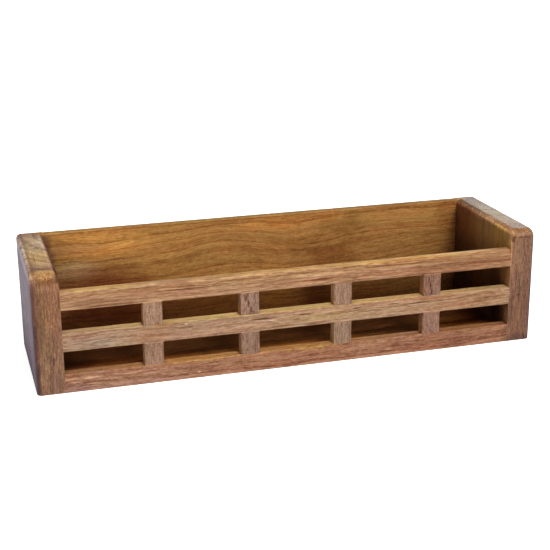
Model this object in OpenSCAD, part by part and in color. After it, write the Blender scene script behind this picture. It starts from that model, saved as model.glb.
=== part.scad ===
// Open-topped wooden caddy for jars and mills on a counter or a shelf.
// Two thick end boards hold a lattice front, a back panel and a floor panel.
// The lattice has three rails and a row of uprights: the uprights are stub
// tenoned into the bottom and top rails and halved behind the middle one.
//
// X runs along the length, to the right as seen from the front. The front
// is at -Y, +Z is up, and the origin is at the middle of the base.

/* [Overall] */
// Length over both end boards
length = 406; // [300:1:600]
// Depth from the front face to the back face
depth = 114; // [90:1:160]
// Height of the end boards and of the back panel
height = 95; // [90:1:140]

/* [End boards] */
// Thickness of each end board
end_t = 21; // [18:0.5:28]
// Radius of the front top corner, seen from the side
corner_r = 8; // [6:0.5:10]
// Radius of the rounded edges along the top and down the front
edge_r = 4; // [2:0.2:5.4]
// Radius of the bearing that guided the rounding-over cutter
bearing_r = 3.2; // [2:0.2:6]

/* [Lattice front] */
// Height of each of the three rails
rail_h = 14.8; // [13.6:0.2:16.4]
// Thickness of the rails and of the uprights
rail_t = 9.5; // [8:0.5:13]
// Clear height between one rail and the next
gap_h = 17.6; // [12:0.2:20]
// Width of each upright
upright_w = 14.8; // [11:0.2:24]
// Number of uprights between the end boards
upright_count = 4; // [1:1:7]
// Radius of the rounded top edges of the top rail
rail_round_r = 2.5; // [1:0.5:4]
// Radius of the eased edges round each window of the lattice
ease_r = 1.2; // [0.4:0.2:1.6]

/* [Panels] */
// Thickness of the back panel
back_t = 6.5; // [5:0.5:9]
// How far the back panel is let into each end board
back_let = 7; // [4:0.5:12]
// Thickness of the floor panel
floor_t = 6; // [4:0.5:6.5]
// Height of the floor panel's underside above the base
floor_lift = 3; // [2:0.5:3.5]
// How far the floor panel is let into the end boards and the bottom rail
floor_let = 4; // [2:0.5:5]

/* [Joints] */
// Length of the tenon on each end of a rail
rail_tenon_l = 8; // [5:0.5:14]
// Thickness of the tenons on the rails and the uprights
tenon_t = 5; // [3:0.5:6]
// Width of the shoulder on each edge of a tenon
shoulder_w = 2.4; // [1:0.2:4]
// Wood left between an upright's mortise and the floor panel's groove
web_t = 0.8; // [0.4:0.2:1.6]
// Clearance on each side of a glued joint
fit_gap = 0.1; // [0.05:0.05:0.3]

/* [Hidden] */
// How far a cut runs past the surface that it opens
over = 1;

// Heights of the undersides of the three rails
rail_pitch = rail_h + gap_h;
bottom_z = 0;
middle_z = rail_pitch;
top_z = 2 * rail_pitch;

half_l = length / 2;
half_d = depth / 2;
inner_x = half_l - end_t;
front_y = -half_d;
back_inner_y = half_d - back_t;
lattice_y = front_y + rail_t / 2;
floor_front_y = front_y + rail_t - floor_let;
tenon_h = rail_h - 2 * shoulder_w;
window_w = (2 * inner_x - upright_count * upright_w) / (upright_count + 1);
upright_tenon_l = rail_h - floor_lift - floor_t - web_t;
corner_z = height - corner_r;

// Corners of a rectangle, counted anticlockwise from the one at +X and +Y
all_corners = [0, 1, 2, 3];
top_corners = [0, 1];
bottom_corners = [2, 3];

wood = "#a97a58";
end_wood = "#a0714f";
panel_wood = "#b98a4e";

$fn = 64;

// Middle of an upright, and the left side of a window, both counted from 1
function upright_x(i) = -inner_x + i * window_w + (i - 0.5) * upright_w;
function window_x(i) = -inner_x + (i - 1) * (window_w + upright_w);

// ---- Shared shapes ----

// Waste outside a quarter round at a corner that points to +X and +Y.
// The origin is the centre of the quarter round.
module corner_waste(r) {
    difference() {
        square(r + over);
        circle(r);
    }
}

// The same at the corners of a rectangle round the origin
module rectangle_waste(size, r, corners) {
    for (k = corners)
        rotate(90 * k)
            translate(((k % 2 == 0) ? size : [size.y, size.x]) / 2 - [r, r])
                corner_waste(r);
}

// Draws a Y-Z outline and extrudes it along X
module along_x(x, run) {
    translate([x, 0, 0])
        rotate([90, 0, 90])
            linear_extrude(run)
                children();
}

// ---- End boards ----

// Side view of an end board, with the round front top corner
module end_outline() {
    difference() {
        translate([front_y, 0])
            square([depth, height]);
        translate([front_y + corner_r, corner_z])
            rotate(90)
                corner_waste(corner_r);
    }
}

// One pass of the rounding-over cutter round the right board's outer side:
// along the top, round the corner, then down the front as far as end_z
module edge_pass(end_z) {
    edge_x = half_l - edge_r;
    translate([edge_x, half_d + over, height - edge_r])
        rotate([90, 0, 0])
            linear_extrude(depth - corner_r + over)
                corner_waste(edge_r);
    translate([edge_x, front_y + corner_r, corner_z])
        rotate([180, 0, 0])
            rotate([0, 90, 0])
                rotate_extrude(angle = 90)
                    translate([corner_r - edge_r, 0])
                        corner_waste(edge_r);
    if (end_z < corner_z)
        translate([edge_x, front_y + edge_r, end_z])
            linear_extrude(corner_z - end_z)
                rotate(-90)
                    corner_waste(edge_r);
}

// The round run-out that the cutter leaves where it stops, at the lower end
// of the round corner, with its bearing against the side of the board
module cutter_stop() {
    translate([half_l + bearing_r, front_y, corner_z])
        rotate([-90, 90, 0])
            rotate_extrude(angle = 90)
                difference() {
                    translate([0, -over])
                        square([bearing_r + edge_r, edge_r + over]);
                    translate([bearing_r + edge_r, edge_r])
                        circle(edge_r);
                }
}

// Mirrors what belongs to the outer side of the right board to its inner side
module on_inner_side() {
    translate([2 * half_l - end_t, 0, 0])
        mirror([1, 0, 0])
            children();
}

// The right end board. The left one is its mirror image.
module end_board() {
    difference() {
        along_x(inner_x, end_t)
            end_outline();
        edge_pass(-over);
        on_inner_side() {
            edge_pass(corner_z);
            cutter_stop();
        }
        for (z = [bottom_z, middle_z, top_z])
            rail_tenon(z, fit_gap);
        floor_board(fit_gap);
        translate([inner_x - over, back_inner_y, -over])
            cube([over + back_let, back_t + over, height + 2 * over]);
    }
}

module right_end() {
    color(end_wood)
        end_board();
}

module left_end() {
    color(end_wood)
        mirror([1, 0, 0])
            end_board();
}

// ---- Panels ----

// The floor panel, grown by gap on every side for the grooves that hold it
module floor_board(gap) {
    half = inner_x + floor_let + gap;
    translate([-half, floor_front_y - gap, floor_lift - gap])
        cube([2 * half, back_inner_y - floor_front_y + gap, floor_t + 2 * gap]);
}

module floor_panel() {
    color(panel_wood)
        floor_board(0);
}

// The back panel, its top edges eased between the end boards
module back_panel() {
    half = inner_x + back_let - fit_gap;
    color(panel_wood)
        difference() {
            translate([-half, back_inner_y, 0])
                cube([2 * half, back_t, height]);
            along_x(-inner_x, 2 * inner_x)
                translate([back_inner_y + back_t / 2, height / 2])
                    rectangle_waste([back_t, height], ease_r, top_corners);
        }
}

// ---- Lattice ----

// Tenon on the right end of the rail at height z, grown by gap for its mortise
module rail_tenon(z, gap) {
    translate([inner_x - over, lattice_y - tenon_t / 2 - gap, z + shoulder_w - gap])
        cube([over + rail_tenon_l + gap, tenon_t + 2 * gap, tenon_h + 2 * gap]);
}

// The tenoned core of an upright, from the end of one stub tenon to the end
// of the other, grown by gap for its two mortises
module upright_core(i, gap) {
    core_w = upright_w - 2 * shoulder_w + 2 * gap;
    low_z = bottom_z + rail_h - upright_tenon_l - gap;
    high_z = top_z + upright_tenon_l + gap;
    translate([upright_x(i) - core_w / 2, lattice_y - tenon_t / 2 - gap, low_z])
        cube([core_w, tenon_t + 2 * gap, high_z - low_z]);
}

// Waste along the edges of the rail at height z, over a run from x
module rail_waste(z, r, corners, x, run) {
    along_x(x, run)
        translate([lattice_y, z + rail_h / 2])
            rectangle_waste([rail_t, rail_h], r, corners);
}

// The eased edges of a rail, along each window beside it
module rail_ease(z, corners) {
    for (i = [1:upright_count + 1])
        rail_waste(z, ease_r, corners, window_x(i), window_w);
}

// The rail at height z with its two tenons, before anything is cut from it
module rail_bar(z) {
    translate([-inner_x, front_y, z])
        cube([2 * inner_x, rail_t, rail_h]);
    rail_tenon(z, 0);
    mirror([1, 0, 0])
        rail_tenon(z, 0);
}

module bottom_rail() {
    color(wood)
        difference() {
            rail_bar(bottom_z);
            rail_ease(bottom_z, top_corners);
            floor_board(fit_gap);
            for (i = [1:upright_count])
                upright_core(i, fit_gap);
        }
}

module middle_rail() {
    lap_w = upright_w + 2 * fit_gap;
    color(wood)
        difference() {
            rail_bar(middle_z);
            rail_ease(middle_z, all_corners);
            for (i = [1:upright_count])
                translate([upright_x(i) - lap_w / 2, lattice_y - fit_gap, middle_z - over])
                    cube([lap_w, rail_t, rail_h + 2 * over]);
        }
}

module top_rail() {
    color(wood)
        difference() {
            rail_bar(top_z);
            rail_ease(top_z, bottom_corners);
            rail_waste(top_z, rail_round_r, top_corners, -inner_x, 2 * inner_x);
            for (i = [1:upright_count])
                upright_core(i, fit_gap);
        }
}

// An upright: a shaft between the bottom and top rails with a tenon at each
// end, notched in front for the middle rail and eased along the windows
module upright(i) {
    shaft_z = bottom_z + rail_h;
    color(wood)
        difference() {
            union() {
                translate([upright_x(i) - upright_w / 2, front_y, shaft_z])
                    cube([upright_w, rail_t, top_z - shaft_z]);
                upright_core(i, 0);
            }
            translate([upright_x(i) - upright_w, lattice_y - rail_t, middle_z - fit_gap])
                cube([2 * upright_w, rail_t, rail_h + 2 * fit_gap]);
            for (z = [bottom_z, middle_z])
                translate([upright_x(i), lattice_y, z + rail_h])
                    linear_extrude(gap_h)
                        rectangle_waste([upright_w, rail_t], ease_r, all_corners);
        }
}

// ---- The assembly ----

left_end();
right_end();
back_panel();
floor_panel();
bottom_rail();
middle_rail();
top_rail();
for (i = [1:upright_count])
    upright(i);
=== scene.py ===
"""Looks of the oiled wooden caddy: its timber, the floor, the lights and the camera.

Lengths in the node groups and in the boards' tables are millimetres. A
board's own space, called its place, has its origin on the heart of the tree
and its Z along the grain.
"""

from math import pi, radians

import bpy
from mathutils import Euler, Matrix, Vector


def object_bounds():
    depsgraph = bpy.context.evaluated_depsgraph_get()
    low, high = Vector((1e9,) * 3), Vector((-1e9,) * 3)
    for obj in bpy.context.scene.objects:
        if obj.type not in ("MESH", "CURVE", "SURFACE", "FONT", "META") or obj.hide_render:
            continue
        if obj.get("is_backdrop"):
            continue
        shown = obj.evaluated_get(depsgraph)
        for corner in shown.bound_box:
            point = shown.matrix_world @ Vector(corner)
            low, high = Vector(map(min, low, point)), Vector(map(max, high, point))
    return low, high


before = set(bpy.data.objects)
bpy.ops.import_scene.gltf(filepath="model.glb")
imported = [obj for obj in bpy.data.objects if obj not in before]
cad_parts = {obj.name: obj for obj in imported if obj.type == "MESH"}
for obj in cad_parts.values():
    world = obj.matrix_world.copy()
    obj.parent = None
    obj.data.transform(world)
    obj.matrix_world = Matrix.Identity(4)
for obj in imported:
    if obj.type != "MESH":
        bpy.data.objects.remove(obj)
cad_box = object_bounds()

MM = 0.001
MM_PER_METRE = 1000


# ---- Camera ----

CAMERA_PLACE = (-0.2617, -0.8996, 0.3619)
# Degrees of pitch, roll and yaw
CAMERA_TURN = (72.025, 0.415, -16.276)


def make_camera():
    """A long lens at the left of the front, looking a little down."""
    data = bpy.data.cameras.new("camera")
    data.sensor_width, data.lens = 36, 78.63
    data.clip_start, data.clip_end = 0.1, 20
    camera = bpy.data.objects.new("camera", data)
    camera.location = CAMERA_PLACE
    camera.rotation_euler = [radians(angle) for angle in CAMERA_TURN]
    bpy.context.collection.objects.link(camera)
    bpy.context.scene.camera = camera


# ---- Wiring of nodes ----


class Wiring:
    """Places and joins the nodes of one node tree."""

    def __init__(self, tree):
        self.tree = tree

    def feed(self, socket, value):
        """Joins a socket to another one, or sets it to a constant."""
        if isinstance(value, bpy.types.NodeSocket):
            self.tree.links.new(value, socket)
        else:
            socket.default_value = value

    def node(self, kind, sockets=None, **settings):
        """A new node with its settings, its inputs fed by name or number."""
        node = self.tree.nodes.new(kind)
        for name, value in settings.items():
            setattr(node, name, value)
        for name, value in (sockets or {}).items():
            self.feed(node.inputs[name], value)
        return node

    def math(self, operation, *values):
        """The result of a Math node."""
        node = self.node("ShaderNodeMath", dict(enumerate(values)), operation=operation)
        return node.outputs[0]

    def vector(self, operation, *values, out="Vector"):
        """The result of a Vector Math node."""
        sockets = dict(enumerate(values))
        node = self.node("ShaderNodeVectorMath", sockets, operation=operation)
        return node.outputs[out]

    def scaled(self, vector, factor):
        sockets = {0: vector, "Scale": factor}
        return self.node("ShaderNodeVectorMath", sockets, operation="SCALE").outputs[0]

    def ramp(self, value, low, high, to_low=0.0, to_high=1.0, kind="SMOOTHSTEP"):
        """Takes value from low..high to to_low..to_high, and holds it there."""
        sockets = {"Value": value, "From Min": low, "From Max": high}
        sockets |= {"To Min": to_low, "To Max": to_high}
        node = self.node("ShaderNodeMapRange", sockets, interpolation_type=kind)
        return node.outputs[0]

    def blend(self, factor, first, second, kind="MIX"):
        """Mixes two colours."""
        node = self.node("ShaderNodeMix", data_type="RGBA", blend_type=kind)
        for number, value in ((0, factor), (6, first), (7, second)):
            self.feed(node.inputs[number], value)
        return node.outputs[2]

    def tinted(self, colour, tint, factor=1.0):
        """A colour multiplied by a tint, where and as far as factor says."""
        return self.blend(factor, colour, tint, "MULTIPLY")

    def noise(self, vector, detail=2.0, roughness=0.5, out="Fac"):
        """Noise of one unit a cell."""
        sockets = {"Vector": vector, "Scale": 1.0}
        sockets |= {"Detail": detail, "Roughness": roughness}
        return self.node("ShaderNodeTexNoise", sockets).outputs[out]

    def group(self, group, **sockets):
        """A group in this tree. An underscore stands for a space in a name."""
        node = self.node("ShaderNodeGroup", node_tree=group)
        for name, value in sockets.items():
            self.feed(node.inputs[name.replace("_", " ")], value)
        return node.outputs


def new_group(name, inputs, outputs):
    """An empty node group: its wiring, its inputs by name and a way to end it."""
    group = bpy.data.node_groups.new(name, "ShaderNodeTree")
    for in_out, sockets in (("INPUT", inputs), ("OUTPUT", outputs)):
        for label, kind in sockets.items():
            kind = "NodeSocket" + kind
            group.interface.new_socket(label, in_out=in_out, socket_type=kind)
    wiring = Wiring(group)
    given = wiring.node("NodeGroupInput").outputs

    def end(**results):
        sockets = {name.replace("_", " "): result for name, result in results.items()}
        wiring.node("NodeGroupOutput", sockets)
        return group

    return wiring, given, end


# ---- Effects that the boards share ----

# Lengths across and along the grain over which the rings wander
RING_DRIFT = (26, 26, 120)
# How fast good years turn to bad ones, and by how many ring widths
YEAR_DRIFT, YEAR_UNEVEN = 0.45, 1.6
# Shares of a year at which its dark late wood starts and is at its darkest
LATE_START, LATE_DARKEST = 0.45, 0.93
# Shares of a year over which its open pores thin out
BELT_START, BELT_END = 0.05, 0.5
# Shares of a pore's width: its dark core and its rim
PORE_CORE, PORE_RIM = 0.15, 0.5
# Cosines of the turn of the surface where rubbing begins and where it is full
RUB_START, RUB_FULL = 0.995, 0.85
# Cosines between surface and grain for a cut along it and a cut across it
CUT_ALONG, CUT_ACROSS = 0.35, 0.9
# Shares of a patch's half size that its full tone and its rim reach
PATCH_CORE, PATCH_RIM = 0.35, 1.15
# Size of the teeth on a patch's ragged rim
PATCH_TEETH = (9, 9, 9)
MIDDLE = (0.5, 0.5, 0.5)


def growth_rings():
    """Yearly rings round the heart: the dark late wood, the belt of open
    pores that starts each year, and a tone of its own for each year."""
    w, given, end = new_group(
        "growth rings",
        {"Place": "Vector", "Ring Width": "Float", "Wave": "Float", "Seed": "Float"},
        {"Late Wood": "Float", "Pore Belt": "Float", "Year Tone": "Float"},
    )
    slow = w.vector("DIVIDE", given["Place"], RING_DRIFT)
    slow = w.vector("ADD", slow, given["Seed"])
    push = w.vector("SUBTRACT", w.noise(slow, out="Color"), MIDDLE)
    bent = w.vector("ADD", given["Place"], w.scaled(push, given["Wave"]))
    radius = w.vector("LENGTH", w.vector("MULTIPLY", bent, (1, 1, 0)), out="Value")
    years = w.math("DIVIDE", radius, given["Ring Width"])
    run = w.math("ADD", w.math("MULTIPLY", years, YEAR_DRIFT), given["Seed"])
    sockets = {"W": run, "Scale": 1.0}
    uneven = w.node("ShaderNodeTexNoise", sockets, noise_dimensions="1D").outputs["Fac"]
    years = w.math("ADD", years, w.math("MULTIPLY", uneven, YEAR_UNEVEN))
    phase = w.math("FRACT", years)
    rise = w.ramp(phase, LATE_START, LATE_DARKEST)
    late = w.math("MULTIPLY", rise, w.ramp(phase, LATE_DARKEST, 1, 1, 0))
    belt = w.ramp(phase, BELT_START, BELT_END, 1, 0)
    number = w.math("ADD", w.math("FLOOR", years), given["Seed"])
    tone = w.node("ShaderNodeTexWhiteNoise", {"W": number}, noise_dimensions="1D")
    return end(Late_Wood=late, Pore_Belt=belt, Year_Tone=tone.outputs[0])


def long_cells(w, given):
    """The place counted in cells of one width and one length along the grain."""
    sockets = {"X": given["Width"], "Y": given["Width"], "Z": given["Length"]}
    size = w.node("ShaderNodeCombineXYZ", sockets).outputs[0]
    return w.vector("ADD", w.vector("DIVIDE", given["Place"], size), given["Seed"])


def fibres():
    """Fibres of one width and length along the grain, from 0 to 1."""
    w, given, end = new_group(
        "fibres",
        {"Place": "Vector", "Width": "Float", "Length": "Float", "Seed": "Float"},
        {"Fibre": "Float"},
    )
    return end(Fibre=w.noise(long_cells(w, given), detail=2, roughness=0.6))


def open_pores():
    """Cut vessels: short dark dashes along the grain, dots across it."""
    floats = ("Width", "Length", "Share", "Seed")
    w, given, end = new_group(
        "open pores",
        {"Place": "Vector"} | dict.fromkeys(floats, "Float"),
        {"Pore": "Float"},
    )
    sockets = {"Vector": long_cells(w, given), "Scale": 1.0}
    cell = w.node("ShaderNodeTexVoronoi", sockets).outputs
    lot = w.node("ShaderNodeSeparateColor", {0: cell["Color"]}).outputs[0]
    chosen = w.math("LESS_THAN", lot, given["Share"])
    dot = w.ramp(cell["Distance"], PORE_CORE, PORE_RIM, 1, 0)
    return end(Pore=w.math("MULTIPLY", chosen, dot))


def edge_highlight_and_rounding():
    """Edges softened by sanding: a rounded normal, and a mask along them for a painted
    highlight.
    """
    w, given, end = new_group(
        "edge highlight and rounding", {"Radius": "Float"}, {"Edge": "Float", "Normal": "Vector"}
    )
    sockets = {"Radius": given["Radius"]}
    rounded = w.node("ShaderNodeBevel", sockets, samples=6).outputs[0]
    plain = w.node("ShaderNodeNewGeometry").outputs["Normal"]
    turn = w.vector("DOT_PRODUCT", rounded, plain, out="Value")
    edge = w.ramp(turn, RUB_START, RUB_FULL, 0, 1, "LINEAR")
    return end(Edge=edge, Normal=rounded)


def sheltered():
    """How shut in a spot is: 0 in the open and 1 deep inside."""
    w, given, end = new_group("sheltered", {"Reach": "Float"}, {"Shelter": "Float"})
    sockets = {"Distance": given["Reach"]}
    open_share = w.node("ShaderNodeAmbientOcclusion", sockets, samples=8).outputs["AO"]
    return end(Shelter=w.math("SUBTRACT", 1.0, open_share))


def cross_cut():
    """1 where the surface is cut across the grain, and 0 along it."""
    w, given, end = new_group("cross cut", {"Grain": "Vector"}, {"Cross": "Float"})
    normal = w.node("ShaderNodeNewGeometry").outputs["Normal"]
    facing = w.vector("DOT_PRODUCT", normal, given["Grain"], out="Value")
    return end(Cross=w.ramp(w.math("ABSOLUTE", facing), CUT_ALONG, CUT_ACROSS))


def patch():
    """A soft ragged patch of half sizes Size round a point of the caddy."""
    w, given, end = new_group(
        "patch",
        {"Point": "Vector", "Centre": "Vector", "Size": "Vector", "Ragged": "Float"},
        {"Patch": "Float"},
    )
    off = w.vector("SUBTRACT", given["Point"], given["Centre"])
    off = w.vector("LENGTH", w.vector("DIVIDE", off, given["Size"]), out="Value")
    teeth = w.noise(w.vector("DIVIDE", given["Point"], PATCH_TEETH), detail=3)
    teeth = w.math("MULTIPLY", w.math("SUBTRACT", teeth, 0.5), given["Ragged"])
    return end(Patch=w.ramp(w.math("ADD", off, teeth), PATCH_CORE, PATCH_RIM, 1, 0))


RINGS, FIBRES, PORES = growth_rings(), fibres(), open_pores()
EDGES, SHELTER, CROSS, PATCH = edge_highlight_and_rounding(), sheltered(), cross_cut(), patch()


# ---- Timber ----

# Lengths across and along the grain over which the fibres sway
SWAY = (60, 60, 90)
# Kinds of fibre: width, length as a share of the board's own, and what is
# added to its seed
BROAD, FINE, SHORT = (3.0, 2.4, 0), (1.1, 1, 7.3), (0.9, 0.25, 3.1)
DARK_LINE, PALE_FLECK = (1.0, 1.5, 5.9), (1.0, 0.25, 2.2)
# Width of a pore, and its length as a share of the board's own
PORE_WIDTH, PORE_LENGTH = 1.1, 0.4
# How much each kind of fibre adds to the streaks
BROAD_SHARE, FINE_SHARE, SHORT_SHARE = 1.8, 3.6, 3.4
# Where a fibre starts to show as a dark line or a pale fleck, and is full
LINE_START, LINE_FULL = 0.56, 0.66
FLECK_START, FLECK_FULL = 0.58, 0.68
# Share of the cells that hold a pore, between the belts and inside them
FEW_PORES, MANY_PORES = 0.1, 0.35
# Tone of the wood between its rings and streaks, from deep 0 to pale 1
MIDDLE_TONE = 0.55
# How far the tone of one year moves from the next one's
YEAR_SHARE = 0.6
# Cells to a millimetre of the slow drift between a rosier and a greener tint
TINT_DRIFT = (0.13, 0.13, 0.016)
ALL_ROSY, ALL_GREENISH = 0.35, 0.65
ROSY, GREENISH = (1.02, 0.96, 0.94, 1), (0.98, 1.04, 1.0, 1)
# What the pale tone is multiplied by in a fleck, and the deep one in a pore
FLECK_TINT, PORE_TINT = (1.2, 1.25, 1.3, 1), (0.4, 0.32, 0.26, 1)
# Roughness between the fine fibres and on them, and where each one holds
DULL_OIL, SHINY_OIL = 0.5, 0.38
FIBRE_LOW, FIBRE_HIGH = 0.3, 0.7
# What pores and end grain add to the roughness
PORE_DULL, END_DULL = 0.15, 0.06


def timber():
    """Oiled wood of a board: its colour, roughness and height."""
    floats = (
        "Seed", "Ring Width", "Wave", "Ring Strength", "Streak Strength",
        "Pore Strength", "Line Strength", "Fleck Strength", "Streak Length", "Bend",
    )
    inputs = {"Place": "Vector", "Grain": "Vector", "Pale": "Color", "Deep": "Color"}
    w, given, end = new_group(
        "timber",
        inputs | dict.fromkeys(floats, "Float"),
        {"Color": "Color", "Roughness": "Float", "Height": "Float"},
    )
    seed, length = given["Seed"], given["Streak Length"]

    def centred(value):
        return w.math("SUBTRACT", value, 0.5)

    slow = w.vector("ADD", w.vector("DIVIDE", given["Place"], SWAY), seed)
    sway = w.vector("SUBTRACT", w.noise(slow, detail=1, out="Color"), MIDDLE)
    sway = w.vector("MULTIPLY", w.scaled(sway, given["Bend"]), (1, 1, 0))
    place = w.vector("ADD", given["Place"], sway)
    rings = w.group(
        RINGS,
        Place=place,
        Ring_Width=given["Ring Width"],
        Wave=given["Wave"],
        Seed=seed,
    )

    def fibre(kind):
        width, share, shift = kind
        return w.group(
            FIBRES,
            Place=place,
            Width=width,
            Length=w.math("MULTIPLY", length, share),
            Seed=w.math("ADD", seed, shift),
        )["Fibre"]

    broad, fine, short = fibre(BROAD), fibre(FINE), fibre(SHORT)
    streaks = w.math("MULTIPLY", centred(fine), FINE_SHARE)
    streaks = w.math("MULTIPLY_ADD", centred(broad), BROAD_SHARE, streaks)
    streaks = w.math("MULTIPLY_ADD", centred(short), SHORT_SHARE, streaks)
    lines = w.ramp(fibre(DARK_LINE), LINE_START, LINE_FULL)
    flecks = w.ramp(fibre(PALE_FLECK), FLECK_START, FLECK_FULL)
    pores = w.group(
        PORES,
        Place=place,
        Width=PORE_WIDTH,
        Length=w.math("MULTIPLY", length, PORE_LENGTH),
        Share=w.ramp(rings["Pore Belt"], 0, 1, FEW_PORES, MANY_PORES),
        Seed=seed,
    )["Pore"]

    late = w.math("MULTIPLY", rings["Late Wood"], given["Ring Strength"])
    year = w.math("MULTIPLY", centred(rings["Year Tone"]), given["Ring Strength"])
    tone = w.math("MULTIPLY_ADD", streaks, given["Streak Strength"], MIDDLE_TONE)
    tone = w.math("MULTIPLY_ADD", year, YEAR_SHARE, tone)
    tone = w.math("SUBTRACT", tone, late)
    wood = w.blend(w.ramp(tone, 0, 1, 0, 1, "LINEAR"), given["Deep"], given["Pale"])

    drift = w.vector("ADD", w.vector("MULTIPLY", place, TINT_DRIFT), seed)
    drift = w.noise(drift, detail=3, roughness=0.6)
    drift = w.ramp(drift, ALL_ROSY, ALL_GREENISH)
    wood = w.tinted(wood, w.blend(drift, ROSY, GREENISH))
    flecks = w.math("MULTIPLY", flecks, given["Fleck Strength"])
    wood = w.blend(flecks, wood, w.tinted(given["Pale"], FLECK_TINT))
    lines = w.math("MULTIPLY", lines, given["Line Strength"])
    pores = w.math("MULTIPLY", pores, given["Pore Strength"])
    cuts = w.math("MAXIMUM", lines, pores)
    wood = w.blend(cuts, wood, w.tinted(given["Deep"], PORE_TINT))

    cross = w.group(CROSS, Grain=given["Grain"])["Cross"]
    rough = w.ramp(fine, FIBRE_LOW, FIBRE_HIGH, DULL_OIL, SHINY_OIL, "LINEAR")
    rough = w.math("MULTIPLY_ADD", cuts, PORE_DULL, rough)
    rough = w.math("MULTIPLY_ADD", cross, END_DULL, rough)
    height = w.math("SUBTRACT", w.math("ADD", centred(fine), centred(broad)), cuts)
    return end(Color=wood, Roughness=rough, Height=height)


TIMBER = timber()


# ---- The boards ----

UP, ALONG = Vector((0, 0, 1)), Vector((1, 0, 0))
# Turns the caddy's length to the Z of a board's place
ALONG_TO_PLACE = Matrix.Rotation(-pi / 2, 3, "Y")
# Y of the caddy's front, and of a plane half a millimetre before its back panel
FRONT, BACK = -57, 50


def colour(red, green, blue):
    """A linear colour from one given in screen values of 0 to 255."""

    def linear(value):
        value /= 255
        return value / 12.92 if value <= 0.04045 else ((value + 0.055) / 1.055) ** 2.4

    return (linear(red), linear(green), linear(blue), 1)


# What each board is cut from, and how its oiled face looks:
#   grain       which way its fibres run
#   heart       a point on the heart line of the tree
#   lean        degrees that this line leans from the board's own length
#   seed        which of all such boards it is
#   ring_width  width of a year's growth, and wave how far the rings wander
#   pale, deep  its palest and its deepest tone, in screen values
#   rings, streaks, pores, lines, flecks  how strongly each of them shows
#   length      length of its streaks, and bend how far they sway
#   shade       how shut in it is where its painted shade starts, and is darkest
#   gloss       how much light its surface throws back
OPEN_SHADE = (0.5, 0.85)
END_BOARD = dict(grain=UP, wave=4, pores=0.5, bend=8, shade=OPEN_SHADE)
PANEL = dict(grain=ALONG, ring_width=6, rings=0.3, streaks=0.3, pores=0.3, lines=0.3)
RAIL = dict(
    grain=ALONG, rings=0.3, streaks=0.45, pores=0.3, shade=OPEN_SHADE, gloss=0.12,
)
UPRIGHT = dict(
    grain=UP, ring_width=4, wave=3, rings=0.2, streaks=0.4, pores=0.5, lines=0.4,
    flecks=0.35, length=6, bend=4, shade=(0.85, 1.0), gloss=0.12,
)
BOARDS = {
    "left_end": END_BOARD | dict(
        heart=(-128, 50, 40), lean=(1.5, -1), seed=1.7, ring_width=9,
        pale=(157, 114, 84), deep=(96, 60, 41), rings=0.4, streaks=0.4,
        lines=0.45, flecks=0.25, length=9, gloss=0.4,
    ),
    "right_end": END_BOARD | dict(
        heart=(150, -130, 40), lean=(-1, 1.5), seed=5.1, ring_width=8,
        pale=(145, 103, 70), deep=(84, 48, 30), rings=0.28, streaks=0.5,
        lines=0.6, flecks=0.3, length=8, gloss=0.5,
    ),
    "back_panel": PANEL | dict(
        heart=(0, 30, 120), lean=(0.5, 1.2), seed=9.4, wave=6,
        pale=(198, 147, 82), deep=(135, 86, 41),
        flecks=0.25, length=14, bend=22, shade=OPEN_SHADE, gloss=0.12,
    ),
    "floor_panel": PANEL | dict(
        heart=(0, 10, 90), lean=(0.5, -1), seed=12.8, wave=10,
        pale=(180, 124, 72), deep=(122, 76, 40), rings=0.35, streaks=0.4,
        flecks=0.1, length=22, bend=14, shade=(0.3, 0.6), gloss=0.08,
    ),
    "bottom_rail": RAIL | dict(
        heart=(0, -85, 20), lean=(0.4, 0.6), seed=3.3, ring_width=3.4, wave=4,
        pale=(175, 132, 104), deep=(114, 71, 52),
        lines=0.35, flecks=0.4, length=14, bend=10,
    ),
    "middle_rail": RAIL | dict(
        heart=(0, -30, 75), lean=(0.3, 0.5), seed=6.6, ring_width=3.6, wave=3,
        pale=(185, 151, 121), deep=(128, 91, 67), rings=0.25, pores=0.35,
        lines=0.35, flecks=0.4, length=18, bend=8,
    ),
    "top_rail": RAIL | dict(
        heart=(0, -10, 130), lean=(0.2, 0.4), seed=8.2, ring_width=4.2, wave=3,
        pale=(188, 149, 114), deep=(128, 85, 60),
        lines=0.45, flecks=0.35, length=24, bend=6,
    ),
    "upright_1": UPRIGHT | dict(
        heart=(-60, -90, 30), lean=(1, 1), seed=11.2,
        pale=(173, 141, 118), deep=(116, 84, 64), pores=0.45, lines=0.3,
    ),
    "upright_2": UPRIGHT | dict(
        heart=(-10, -95, 30), lean=(1, -1), seed=14.9,
        pale=(165, 131, 112), deep=(103, 74, 61), lines=0.5,
    ),
    "upright_3": UPRIGHT | dict(
        heart=(60, -100, 30), lean=(-1, 1), seed=17.5,
        pale=(167, 136, 113), deep=(108, 77, 62),
    ),
    "upright_4": UPRIGHT | dict(
        heart=(150, -95, 30), lean=(1, 1), seed=19.3,
        pale=(165, 127, 109), deep=(102, 72, 59),
    ),
}


def painted_lit_side(x, tint=(1.75, 1.75, 1.55)):
    """The left side of an upright, with painted light: pale, and golden beside the
    windows.
    """
    golden = (1.15, 1.05, 0.8)
    return [
        ((x, -50, 40), (0.9, 12, 90), 0.1, tint),
        ((x, -52, 51), (1.2, 7, 5), 0.4, golden),
        ((x, -52, 17), (1.2, 7, 5), 0.4, golden),
    ]
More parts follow.
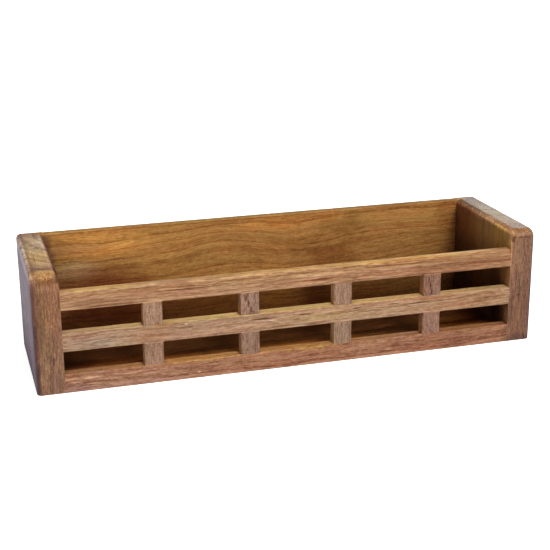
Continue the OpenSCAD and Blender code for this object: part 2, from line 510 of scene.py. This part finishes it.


# Patches of another tone, many of them painted light or shade: centre, half
# sizes, raggedness, and what the red, green and blue are multiplied by
TONE_AND_LIGHT_PATCHES = {
    "left_end": [
        # Outer side: a painted cool sheen, stronger higher up
        ((-203, 0, 48), (2.5, 62, 80), 0.3, (1.05, 1.12, 1.6)),
        ((-203, 20, 60), (2.5, 50, 50), 0.3, (0.97, 1.15, 1.3)),
        # Outer front edge: painted shade on the rounding that turns from the light
        ((-203, -53, 34), (1.2, 12, 60), 0.3, (0.58, 0.4, 0.3)),
        ((-201.4, -56, 44), (2.4, 4, 80), 0.3, (0.5, 0.34, 0.4)),
        # Top: painted light, paler and more golden, with a few spots of other tone
        ((-192, 4, 96), (14, 62, 4), 0.1, (1.95, 2.5, 2.1)),
        ((-192, -14, 96), (10, 26, 4), 0.6, (1.15, 1.2, 1.05)),
        ((-190, 36, 96), (18, 50, 4), 0.4, (1.2, 1.4, 1.9)),
        ((-192, 50, 96), (12, 12, 4), 0.6, (0.85, 0.8, 0.75)),
        ((-189, -34, 95), (11, 12, 3), 0.5, (1.18, 1.26, 1.36)),
        ((-200, 44, 95), (5, 12, 4), 0.5, (1.07, 1.1, 1.2)),
        ((-190, 14, 96), (8, 16, 4), 0.5, (0.88, 0.88, 0.95)),
        # Rounding along the top's outer side: a painted highlight, with a dent
        ((-202.4, 0, 93), (2.5, 130, 10), 0.3, (2.8, 3.9, 5.0)),
        ((-202.5, 22, 93), (2.5, 4, 3), 0.5, (0.6, 0.55, 0.5)),
        ((-199.3, 0, 96), (1.8, 90, 3), 0.5, (0.8, 0.8, 0.82)),
        # Rounding along the top's inner side: paler on the top, painted shade on its far
        # side
        ((-186, 0, 95.5), (1.6, 90, 3), 0.4, (1.25, 1.3, 1.45)),
        ((-182.6, -2, 93), (2.3, 120, 10), 0.2, (0.3, 0.14, 0.03)),
        ((-183.4, -48, 93), (1.6, 9, 10), 0.3, (0.4, 0.26, 0.14)),
        # A dark year across the end grain, and pale wood beside it
        ((-199.5, 26, 95), (3, 4, 3), 0.5, (0.74, 0.67, 0.6)),
        ((-195.5, 19, 95), (3, 4, 3), 0.5, (0.66, 0.58, 0.52)),
        ((-191, 11, 95), (3, 4, 3), 0.5, (0.62, 0.55, 0.48)),
        ((-186.8, 4.5, 95), (3, 3.5, 3), 0.5, (0.66, 0.58, 0.52)),
        ((-196, 30, 95), (3, 8, 3), 0.5, (0.7, 0.68, 0.66)),
        ((-187.5, 32, 95), (2.5, 10, 3), 0.5, (1.35, 1.45, 1.6)),
        ((-198, -2, 95), (1.4, 12, 3), 0.5, (1.25, 1.3, 1.35)),
        # Two hairline checks in the end grain
        ((-198, 5, 95), (0.6, 14, 3), 0.9, (0.75, 0.7, 0.62)),
        ((-195.5, -20, 95), (0.6, 16, 3), 0.9, (0.6, 0.52, 0.45)),
        # Dark line just behind the front corner
        ((-192, -43.5, 95), (12, 3, 3), 0.5, (0.75, 0.6, 0.65)),
        ((-194, -45.5, 95), (9, 0.9, 3), 0.5, (0.5, 0.4, 0.4)),
        # Front corner: painted highlight and shade on its rounding
        ((-191, -53.5, 93.5), (15, 8, 5), 0.2, (1.75, 2.0, 1.35)),
        ((-197, -52, 91), (7, 7, 6), 0.4, (1.16, 1.18, 1.17)),
        ((-190, FRONT, 87.6), (9, 5, 2.2), 0.5, (0.85, 0.75, 0.65)),
        ((-190, FRONT, 84.5), (10, 5, 4.5), 0.4, (1.28, 1.35, 1.5)),
        ((-185.2, -55, 91), (1.6, 4, 5), 0.3, (0.66, 0.7, 0.74)),
        # Front: dark and pale belts along its grain
        ((-198.3, FRONT, 60), (2.0, 5, 36), 0.4, (0.6, 0.58, 0.6)),
        ((-194, FRONT, 66), (2.5, 5, 36), 0.5, (1.22, 1.24, 1.3)),
        ((-190.3, FRONT, 56), (2.0, 5, 12), 0.5, (1.4, 1.5, 1.6)),
        ((-183, FRONT, 73), (1.4, 5, 13), 0.5, (0.62, 0.58, 0.5)),
        ((-189, FRONT, 36), (0.7, 5, 16), 0.5, (0.78, 0.66, 0.56)),
        # Front: broad tones
        ((-196, FRONT, 48), (6, 5, 60), 0.6, (0.95, 1.03, 0.88)),
        ((-192, FRONT, 70), (20, 5, 26), 0.4, (1.2, 1.2, 1.0)),
        ((-197, FRONT, 22), (5, 5, 24), 0.5, (1.32, 1.38, 1.5)),
        ((-189, FRONT, 8), (5, 5, 14), 0.5, (0.8, 0.86, 0.95)),
        # A small knot and the pale fleck over it
        ((-189.5, FRONT, 26), (0.9, 5, 4), 0.3, (0.4, 0.3, 0.2)),
        ((-188.6, FRONT, 31), (0.7, 5, 3), 0.3, (1.9, 2.1, 2.2)),
    ],
    "right_end": [
        # Top: painted light and a grey painted sheen
        ((193, 4, 96), (12, 60, 4), 0.3, (1.55, 2.4, 2.6)),
        ((196, 36, 96), (12, 34, 4), 0.4, (0.85, 0.95, 1.25)),
        # Rounding along the top's inner side: painted light, with a painted dark line
        ((183.8, -38, 94), (3.4, 42, 4.5), 0.4, (2.1, 2.1, 2.2)),
        ((183.5, 6, 93), (3, 36, 4.5), 0.6, (1.5, 1.5, 1.9)),
        ((183.5, 44, 93), (3, 14, 4.5), 0.6, (1.5, 1.6, 1.6)),
        ((185.4, 26, 95), (1.4, 34, 2.5), 0.4, (0.6, 0.55, 0.5)),
        ((187.6, -32, 95), (1.4, 34, 2.5), 0.5, (1.3, 1.2, 1.05)),
        # Inner side: painted light high up and near the front, painted shade low down and
        # at the back
        ((182, 0, 95), (1.5, 80, 40), 0.2, (2.1, 2.3, 1.8)),
        ((182, -30, 86), (1.5, 50, 20), 0.3, (1.25, 1.4, 1.5)),
        ((182, -38, 70), (2, 22, 40), 0.6, (1.4, 1.45, 1.1)),
        ((182, 36, 66), (2, 34, 50), 0.4, (0.7, 0.5, 0.45)),
        ((182, 8, 34), (1.5, 50, 34), 0.2, (0.3, 0.2, 0.14)),
        ((182, -3, 34), (1.5, 18, 26), 0.4, (2.0, 2.1, 1.7)),
        # Inner side beside the lattice: a painted highlight on its edge, painted shadow
        # behind it
        ((181.8, -58, 40), (0.6, 11, 70), 0.15, (2.4, 2.7, 3.0)),
        ((182, -31, 37), (1.5, 13, 40), 0.15, (0.35, 0.25, 0.2)),
        ((182, -36, 40), (1.5, 8, 14), 0.4, (0.75, 0.5, 0.5)),
        ((182, -36, 20), (1.5, 13, 16), 0.3, (0.35, 0.3, 0.3)),
        # Three dark lines down the inner side
        ((182, -34, 75), (2, 0.9, 34), 0.4, (0.75, 0.68, 0.6)),
        ((182, -22, 75), (2, 0.9, 34), 0.4, (0.75, 0.68, 0.6)),
        ((182, -4, 75), (2, 1.2, 34), 0.4, (0.75, 0.68, 0.6)),
        # Front corner: painted highlight and shade on its rounding
        ((183.6, -55.5, 92.5), (2, 4, 3), 0.2, (1.1, 1.4, 1.3)),
        ((184.0, FRONT, 87.8), (1.5, 4, 3.4), 0.2, (0.6, 0.45, 0.25)),
        ((193, -54, 94), (10, 5, 7), 0.7, (1.5, 1.5, 1.1)),
        ((193, -55.5, 89), (9, 4, 1.2), 0.9, (0.6, 0.5, 0.42)),
        # Front: dark lines along its grain and a small knot
        ((191, FRONT, 43), (0.9, 5, 18), 0.5, (0.4, 0.32, 0.28)),
        ((190.5, FRONT, 40), (2.6, 5, 1.1), 0.5, (0.3, 0.25, 0.22)),
        ((187.5, FRONT, 55), (0.7, 5, 16), 0.5, (0.55, 0.45, 0.38)),
        ((194, FRONT, 26), (0.7, 5, 14), 0.5, (0.5, 0.4, 0.35)),
        ((185, FRONT, 28), (0.7, 5, 22), 0.6, (0.6, 0.5, 0.45)),
        # Front: broad tones
        ((192, FRONT, 24), (14, 5, 40), 0.5, (0.78, 0.69, 0.6)),
        ((192, FRONT, 1), (16, 5, 6), 0.4, (0.6, 0.52, 0.55)),
        # Outer front edge: painted shade on the rounding that turns from the light
        ((202.4, -56, 40), (2.8, 6, 62), 0.3, (0.32, 0.25, 0.32)),
    ],
    "upright_1": [
        *painted_lit_side(-121),
        # A darker lower half
        ((-113.6, FRONT, 24), (14, 4, 12), 0.5, (0.86, 0.84, 0.86)),
    ],
    "upright_2": [
        *painted_lit_side(-45.3),
        # A dark streak that leans across the shaft
        ((-41.5, FRONT, 61), (1.4, 5, 3.6), 0.6, (0.6, 0.5, 0.45)),
        ((-39.2, FRONT, 56), (1.4, 5, 3.6), 0.6, (0.5, 0.4, 0.35)),
        ((-37.2, FRONT, 51.5), (1.4, 5, 3.6), 0.6, (0.5, 0.4, 0.35)),
        ((-35.4, FRONT, 48.5), (1.4, 5, 2.6), 0.6, (0.6, 0.5, 0.45)),
        # A paler upper half
        ((-37.9, FRONT, 56), (14, 4, 12), 0.5, (1.12, 1.15, 1.19)),
    ],
    "upright_3": [
        *painted_lit_side(30.5),
        # A darker lower half
        ((37.9, FRONT, 24), (14, 4, 12), 0.5, (0.88, 0.92, 0.93)),
    ],
    "upright_4": [
        *painted_lit_side(106.2, (1.6, 1.6, 1.3)),
        # A thin dark streak that leans across the shaft
        ((110.6, FRONT, 61), (0.8, 4, 4.5), 0.4, (0.45, 0.36, 0.32)),
        ((111.8, FRONT, 55.5), (0.8, 4, 4), 0.4, (0.4, 0.32, 0.28)),
        ((113, FRONT, 50.5), (0.8, 4, 3.5), 0.4, (0.5, 0.4, 0.36)),
        # A darker upper half
        ((113.6, FRONT, 56), (14, 4, 12), 0.5, (0.92, 0.87, 0.85)),
    ],
    "back_panel": [
        # Low down: painted shade where the tray is shut in, lighter and darker where light
        # falls through the windows
        ((0, BACK, 12), (260, 9, 32), 0.15, (0.33, 0.25, 0.19)),
        ((-150, BACK, 40), (60, 9, 34), 0.5, (0.74, 0.68, 0.8)),
        ((-128, BACK, 32), (54, 9, 32), 0.5, (0.68, 0.42, 0.36)),
        ((-160, BACK, 34), (22, 9, 12), 0.5, (1.2, 1.2, 1.2)),
        ((53, BACK, 20), (19, 9, 24), 0.4, (0.5, 0.38, 0.32)),
        ((14, BACK, 30), (22, 9, 24), 0.6, (1.25, 1.3, 1.2)),
        # Left part: painted light on the golden wood, and the painted shadow of the left
        # end in its corner
        ((-136, BACK, 82), (44, 9, 14), 0.9, (1.4, 1.36, 1.25)),
        ((-180, BACK, 86), (5, 9, 11), 0.3, (0.58, 0.58, 0.85)),
        ((-177, BACK, 73), (5, 9, 10), 0.3, (0.62, 0.66, 0.9)),
        ((-160, BACK, 80), (40, 9, 6), 0.6, (0.84, 0.8, 1.0)),
        ((-160, BACK, 69), (12, 9, 0.9), 0.6, (0.7, 0.64, 0.6)),
        ((-158, BACK, 62), (26, 9, 9), 0.6, (1.3, 1.65, 2.4)),
        # Top edge, and the dark line under it
        ((0, 54, 95.6), (600, 20, 1.4), 0.2, (0.85, 0.95, 0.75)),
        ((-60, BACK, 93.6), (140, 9, 0.8), 0.5, (0.75, 0.66, 0.55)),
        # Middle and right part: painted light and painted shadow across it
        ((70, BACK, 80), (170, 9, 60), 0.5, (0.86, 0.84, 0.88)),
        ((14, BACK, 88), (40, 9, 8), 0.9, (1.2, 1.12, 1.0)),
        ((62, BACK, 90), (20, 9, 6), 0.9, (1.15, 1.05, 0.95)),
        ((74, BACK, 80), (30, 9, 14), 1.4, (0.8, 0.77, 0.72)),
        ((52, BACK, 66), (44, 9, 10), 1.4, (0.84, 0.8, 0.74)),
        ((64, BACK, 52), (30, 9, 14), 0.8, (0.75, 0.64, 0.58)),
        ((174, BACK, 84), (14, 9, 20), 0.6, (0.8, 0.72, 0.68)),
    ],
    "floor_panel": [
        # Just behind the lattice: painted light that falls through the lower windows
        ((-130, -29, 9), (62, 13, 4), 0.5, (2.8, 2.4, 1.7)),
        ((10, -32, 9), (90, 12, 4), 0.5, (2.2, 2.1, 1.5)),
        ((146, -32, 9), (36, 22, 4), 0.4, (3.2, 3.2, 2.4)),
        # Painted shade where the tray is shut in
        ((0, 0, 9), (120, 22, 4), 0.5, (0.48, 0.4, 0.34)),
        ((178, -14, 9), (18, 16, 4), 0.4, (0.55, 0.45, 0.4)),
    ],
    "top_rail": [
        # Top: painted golden light
        ((-150, -53, 80.5), (46, 9, 3), 0.5, (1.5, 1.6, 1.05)),
        ((-40, -53, 80.5), (70, 9, 2.8), 0.6, (1.4, 1.5, 1.05)),
        ((90, -53, 80.5), (110, 9, 3.4), 0.4, (1.55, 1.6, 0.95)),
        # Dark lines along the grain
        ((-88, FRONT, 73.2), (32, 9, 0.6), 0.4, (0.4, 0.32, 0.26)),
        ((-16, FRONT, 72.4), (60, 9, 0.9), 0.25, (0.76, 0.68, 0.62)),
        ((30, FRONT, 69.6), (64, 9, 0.9), 0.25, (0.84, 0.72, 0.66)),
        ((80, FRONT, 76.0), (44, 9, 0.8), 0.25, (0.5, 0.36, 0.28)),
        ((14, FRONT, 70.2), (18, 9, 0.7), 0.6, (0.85, 0.62, 0.55)),
        ((68, FRONT, 69.2), (38, 9, 0.7), 0.6, (0.9, 0.65, 0.55)),
        ((-140, FRONT, 66.5), (30, 9, 0.9), 0.7, (0.55, 0.42, 0.38)),
        # Broad tones
        ((0, FRONT, 76.0), (260, 9, 3.0), 0.5, (1.1, 1.14, 1.02)),
        ((22, FRONT, 73.5), (28, 9, 3.0), 0.8, (1.2, 1.25, 1.3)),
        ((140, FRONT, 71), (60, 9, 9), 0.6, (0.76, 0.66, 0.6)),
        ((-160, FRONT, 71), (26, 9, 5), 0.9, (0.85, 0.82, 0.8)),
        # Redder wood at the right shoulder
        ((181.6, -55, 78), (1.4, 5, 3), 0.3, (0.9, 0.5, 0.35)),
    ],
    "middle_rail": [
        # Top: painted golden light
        ((0, -52, 47.6), (240, 12, 1.6), 0.2, (1.45, 1.6, 1.0)),
        # Dark dashes along the grain
        ((-29, FRONT, 42.6), (12, 9, 0.75), 0.2, (0.2, 0.12, 0.1)),
        ((6, FRONT, 42.8), (8, 9, 0.8), 0.3, (0.3, 0.22, 0.16)),
        ((49, FRONT, 43.2), (4, 9, 0.6), 0.3, (0.35, 0.28, 0.2)),
        ((80, FRONT, 43.6), (7, 9, 0.6), 0.3, (0.45, 0.35, 0.28)),
        ((100, FRONT, 42.2), (14, 9, 0.6), 0.4, (0.35, 0.27, 0.2)),
        ((-12, FRONT, 35), (14, 9, 1.0), 0.8, (0.65, 0.55, 0.42)),
        ((12, FRONT, 33.8), (7, 9, 0.7), 0.6, (0.45, 0.35, 0.28)),
        # Pale marks
        ((-88.5, FRONT, 45), (1.6, 3, 0.8), 0.2, (2.0, 2.4, 3.0)),
        ((-27, FRONT, 40.7), (15, 9, 1.2), 0.3, (1.45, 1.55, 1.8)),
        # Broad tones
        ((-160, FRONT, 38), (34, 9, 6), 0.9, (0.92, 1.0, 1.12)),
        ((-107, FRONT, 45.5), (16, 9, 3), 0.9, (0.9, 0.78, 0.68)),
        ((20, FRONT, 40), (40, 9, 5), 0.9, (1.1, 1.15, 1.0)),
        ((112, FRONT, 45.2), (24, 9, 1.6), 0.7, (0.95, 0.75, 0.66)),
        ((150, FRONT, 40), (50, 9, 9), 0.6, (0.88, 0.8, 0.72)),
        ((-120, FRONT, 40), (100, 3, 12), 0.5, (0.93, 0.95, 0.99)),
        ((0, FRONT, 40), (70, 3, 12), 0.5, (0.96, 0.95, 0.96)),
        ((-116, FRONT, 38), (22, 9, 7), 0.8, (0.98, 0.91, 0.84)),
        ((-168, FRONT, 38), (16, 9, 6), 0.8, (1.08, 1.07, 1.08)),
    ],
    "bottom_rail": [
        # Top edge: painted golden light at the left
        ((-60, -52, 15.2), (180, 12, 1.6), 0.2, (1.35, 1.35, 0.8)),
        ((150, -52, 15.2), (60, 12, 1.8), 0.3, (0.95, 0.85, 0.6)),
        ((-80, -55, 14), (36, 9, 2.0), 0.8, (1.05, 1.0, 0.8)),
        ((10, -55, 13.5), (30, 9, 1.8), 0.8, (1.15, 1.15, 0.75)),
        ((-158, -52, 14.8), (40, 12, 1.6), 0.5, (0.9, 0.86, 0.93)),
        # Painted glints at the left of the front
        ((-166, FRONT, 10.5), (16, 9, 0.9), 0.8, (1.6, 1.9, 2.0)),
        ((-150, FRONT, 8), (13, 9, 0.8), 0.8, (1.5, 1.75, 1.85)),
        ((-136, FRONT, 10.8), (14, 9, 0.9), 0.8, (1.55, 1.8, 1.9)),
        ((-118, FRONT, 8.5), (12, 9, 0.9), 0.9, (1.4, 1.6, 1.7)),
        ((-174, FRONT, 7.5), (5, 4, 0.8), 0.6, (1.5, 1.7, 1.8)),
        ((-163, FRONT, 5.5), (7, 4, 0.7), 0.7, (1.4, 1.6, 1.7)),
        ((-120, FRONT, 11.2), (9, 4, 1.0), 0.8, (1.5, 1.8, 1.9)),
        # Pale marks
        ((-79.5, FRONT, 4.8), (2, 3, 0.9), 0.2, (2.1, 2.4, 2.6)),
        ((77, FRONT, 5.2), (4.5, 9, 0.6), 0.4, (1.8, 2.2, 2.4)),
        ((100, FRONT, 3), (26, 5, 2), 0.6, (1.25, 1.35, 1.35)),
        # Broad tones
        ((-130, FRONT, 2.2), (56, 9, 1.8), 0.8, (1.05, 1.05, 1.3)),
        ((120, FRONT, 7), (70, 9, 9), 0.7, (0.84, 0.76, 0.74)),
        ((180, FRONT, 7), (4, 9, 9), 0.6, (0.72, 0.72, 0.62)),
        ((0, FRONT, 7), (80, 3, 12), 0.5, (0.96, 0.91, 0.86)),
        ((130, FRONT, 7), (80, 3, 12), 0.5, (0.98, 0.94, 0.92)),
        ((-176, FRONT, 13), (8, 4, 2), 0.5, (0.9, 0.7, 0.62)),
        ((-176, FRONT, 3), (16, 4, 5), 0.5, (0.88, 0.86, 1.06)),
    ],
}

# Where the wood has taken an even colour: centre, half sizes, raggedness, how
# strong it is, and the colour in screen values
STAINS = {
    "right_end": [
        ((181.9, 4, 76), (0.9, 150, 40), 0.1, 0.65, (119, 82, 53)),
    ],
}

# Where the oil has sunk in and left the wood dull: centre, half sizes and
# raggedness
DULL = {
    "right_end": [
        ((184, 0, 94), (3.4, 150, 12), 0.3),
    ],
    "left_end": [
        ((-182.6, 0, 94), (3.4, 150, 12), 0.2),
        ((-191, -55, 88.5), (12, 6, 5), 0.4),
    ],
}

# How far from a spot its shelter is looked for, in metres, and the tint of the
# painted shade that the deepest shelter gives
SHELTER_REACH = 160 * MM
PAINTED_SHADE_TINT = (0.13, 0.065, 0.035, 1)
# Radius of the sanded edges in metres, and how pale the painted highlight along them is
EDGE_RADIUS = 0.5 * MM
EDGE_HIGHLIGHT = 0.3
# Depth of the open grain in metres, and how strongly it shows
GRAIN_DEPTH = 0.25 * MM
GRAIN_STRENGTH = 0.5
OIL_IOR = 1.48


def spots(w, point, rows):
    """The mask of each patch that the rows place, with what they say of it."""
    for centre, size, ragged, *rest in rows:
        mask = w.group(PATCH, Point=point, Centre=centre, Size=size, Ragged=ragged)
        yield mask["Patch"], *rest


def oiled_board(name, board):
    """The oiled timber of one board, laid along its own grain."""
    material = bpy.data.materials.new("oiled " + name.replace("_", " "))
    material.use_nodes = True
    w = Wiring(material.node_tree)
    skin = material.node_tree.nodes["Principled BSDF"].inputs

    turn = Euler([radians(angle) for angle in (*board["lean"], 0)]).to_matrix()
    if board["grain"] is ALONG:
        turn = turn @ ALONG_TO_PLACE
    shift = -(turn @ Vector(board["heart"]))
    point = w.scaled(w.node("ShaderNodeTexCoord").outputs["Object"], MM_PER_METRE)
    sockets = {"Vector": point, "Location": shift, "Rotation": turn.to_euler()}
    pale = colour(*board["pale"])
    wood = w.group(
        TIMBER,
        Place=w.node("ShaderNodeMapping", sockets).outputs[0],
        Grain=board["grain"],
        Seed=board["seed"],
        Pale=pale,
        Deep=colour(*board["deep"]),
        Ring_Width=board["ring_width"],
        Wave=board["wave"],
        Ring_Strength=board["rings"],
        Streak_Strength=board["streaks"],
        Pore_Strength=board["pores"],
        Line_Strength=board["lines"],
        Fleck_Strength=board["flecks"],
        Streak_Length=board["length"],
        Bend=board["bend"],
    )
    tone = wood["Color"]
    for mask, strength, stain in spots(w, point, STAINS.get(name, ())):
        tone = w.blend(w.math("MULTIPLY", mask, strength), tone, colour(*stain))
    # Tones of the wood, and painted light and shade
    for mask, tint in spots(w, point, TONE_AND_LIGHT_PATCHES[name]):
        tone = w.tinted(tone, (*tint, 1), mask)
    # Painted shade: the colour darkens where the spot is shut in
    shelter = w.group(SHELTER, Reach=SHELTER_REACH)["Shelter"]
    tone = w.tinted(tone, PAINTED_SHADE_TINT, w.ramp(shelter, *board["shade"]))
    # Painted highlight: the edges are drawn towards the pale tone
    edges = w.group(EDGES, Radius=EDGE_RADIUS)
    tone = w.blend(w.math("MULTIPLY", edges["Edge"], EDGE_HIGHLIGHT), tone, pale)
    w.feed(skin["Base Color"], tone)

    rough = wood["Roughness"]
    for (mask,) in spots(w, point, DULL.get(name, ())):
        rough = w.ramp(mask, 0, 1, rough, 1)
    w.feed(skin["Roughness"], rough)

    sockets = {"Strength": GRAIN_STRENGTH, "Distance": GRAIN_DEPTH}
    sockets |= {"Height": wood["Height"], "Normal": edges["Normal"]}
    w.feed(skin["Normal"], w.node("ShaderNodeBump", sockets).outputs[0])
    skin["IOR"].default_value = OIL_IOR
    skin["Specular IOR Level"].default_value = board["gloss"]
    return material


def finish_boards():
    for name, board in BOARDS.items():
        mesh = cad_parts[name].data
        mesh.materials.clear()
        mesh.materials.append(oiled_board(name, board))


# ---- Floor and light ----

# Half the floor's width in metres, and how far it lies below the caddy, so
# that the two share no plane
FLOOR_HALF = 6.0
FLOOR_DROP = 0.0001
# Faint clouds in the paper: how many to a metre, and the noise that gives its
# darker and its paler white
CLOUDS_PER_METRE = 12
CLOUD_LOW, CLOUD_HIGH = 0.3, 0.7
DARK_PAPER, PALE_PAPER = (0.78, 0.78, 0.79, 1), (0.8, 0.8, 0.81, 1)
WHITE = (1, 1, 1, 1)
COOL_WHITE = (0.45, 0.52, 1, 1)
# How strongly the floor glows to the eye, and in what it casts up the caddy
FLOOR_GLOW, FLOOR_CAST = 0.9, 0.39
# How bright the surroundings are to light the caddy, and to look at
ROOM_LIGHT, ROOM_SEEN = 0.06, 2.5

# Name, place, size in metres, power in watts and tint
SOFT_BOXES = (
    ("front soft box", (0.7, -2.9, 3.0), 1.3, 190, (1, 0.98, 0.95)),
    ("side soft box", (-2.5, -2.0, 0.8), 1.5, 14, (1, 1, 1)),
    ("far side soft box", (2.6, -0.2, 1.0), 1.5, 12, (1, 1, 1)),
    ("back soft box", (0.3, 2.4, 2.0), 1.2, 12, (1, 0.93, 0.8)),
    ("right soft box", (1.5, 1.7, 0.7), 0.9, 14, (1, 1, 1)),
)
# What the soft boxes are aimed at
CADDY_MIDDLE = Vector((0, 0, 0.05))


def pale_paper():
    """White paper lit from under it, which casts a cooler light up the sides
    of the caddy."""
    material = bpy.data.materials.new("pale paper")
    material.use_nodes = True
    w = Wiring(material.node_tree)
    skin = material.node_tree.nodes["Principled BSDF"].inputs
    point = w.scaled(w.node("ShaderNodeTexCoord").outputs["Object"], CLOUDS_PER_METRE)
    clouds = w.ramp(w.noise(point, detail=6), CLOUD_LOW, CLOUD_HIGH)
    w.feed(skin["Base Color"], w.blend(clouds, DARK_PAPER, PALE_PAPER))
    skin["Roughness"].default_value = 0.8
    skin["Specular IOR Level"].default_value = 0.2
    path = w.node("ShaderNodeLightPath").outputs
    w.feed(skin["Emission Color"], w.blend(path["Is Glossy Ray"], WHITE, COOL_WHITE))
    glow = w.math("MULTIPLY", path["Is Camera Ray"], FLOOR_GLOW)
    glow = w.math("MULTIPLY_ADD", path["Is Glossy Ray"], FLOOR_CAST, glow)
    w.feed(skin["Emission Strength"], glow)
    return material


def make_floor():
    """A wide pale floor under the caddy."""
    mesh = bpy.data.meshes.new("floor")
    sides = ((-1, -1), (1, -1), (1, 1), (-1, 1))
    corners = [(x * FLOOR_HALF, y * FLOOR_HALF, 0) for x, y in sides]
    mesh.from_pydata(corners, [], [(0, 1, 2, 3)])
    mesh.materials.append(pale_paper())
    floor = bpy.data.objects.new("floor", mesh)
    floor.location.z = -FLOOR_DROP
    bpy.context.collection.objects.link(floor)
    floor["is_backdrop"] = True


def make_surroundings():
    """White all round to look at, and a softer white to be lit by."""
    world = bpy.data.worlds.new("white studio")
    world.use_nodes = True
    w = Wiring(world.node_tree)
    back = world.node_tree.nodes["Background"].inputs
    seen = w.node("ShaderNodeLightPath").outputs["Is Camera Ray"]
    w.feed(back["Strength"], w.ramp(seen, 0, 1, ROOM_LIGHT, ROOM_SEEN, "LINEAR"))
    back["Color"].default_value = WHITE
    bpy.context.scene.world = world


def make_soft_boxes():
    """Square soft lights that face the caddy."""
    for name, place, size, power, tint in SOFT_BOXES:
        data = bpy.data.lights.new(name, "AREA")
        data.shape, data.size = "SQUARE", size
        data.energy, data.color = power, tint
        light = bpy.data.objects.new(name, data)
        light.location = place
        aim = CADDY_MIDDLE - light.location
        light.rotation_euler = aim.to_track_quat("-Z", "Y").to_euler()
        bpy.context.collection.objects.link(light)


make_camera()
make_floor()
make_surroundings()
make_soft_boxes()
bpy.context.scene.view_settings.view_transform = "Standard"
finish_boards()

boxes = {"cad": cad_box, "scene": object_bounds()}
boxes = {name: [list(corner) for corner in box] for name, box in boxes.items()}
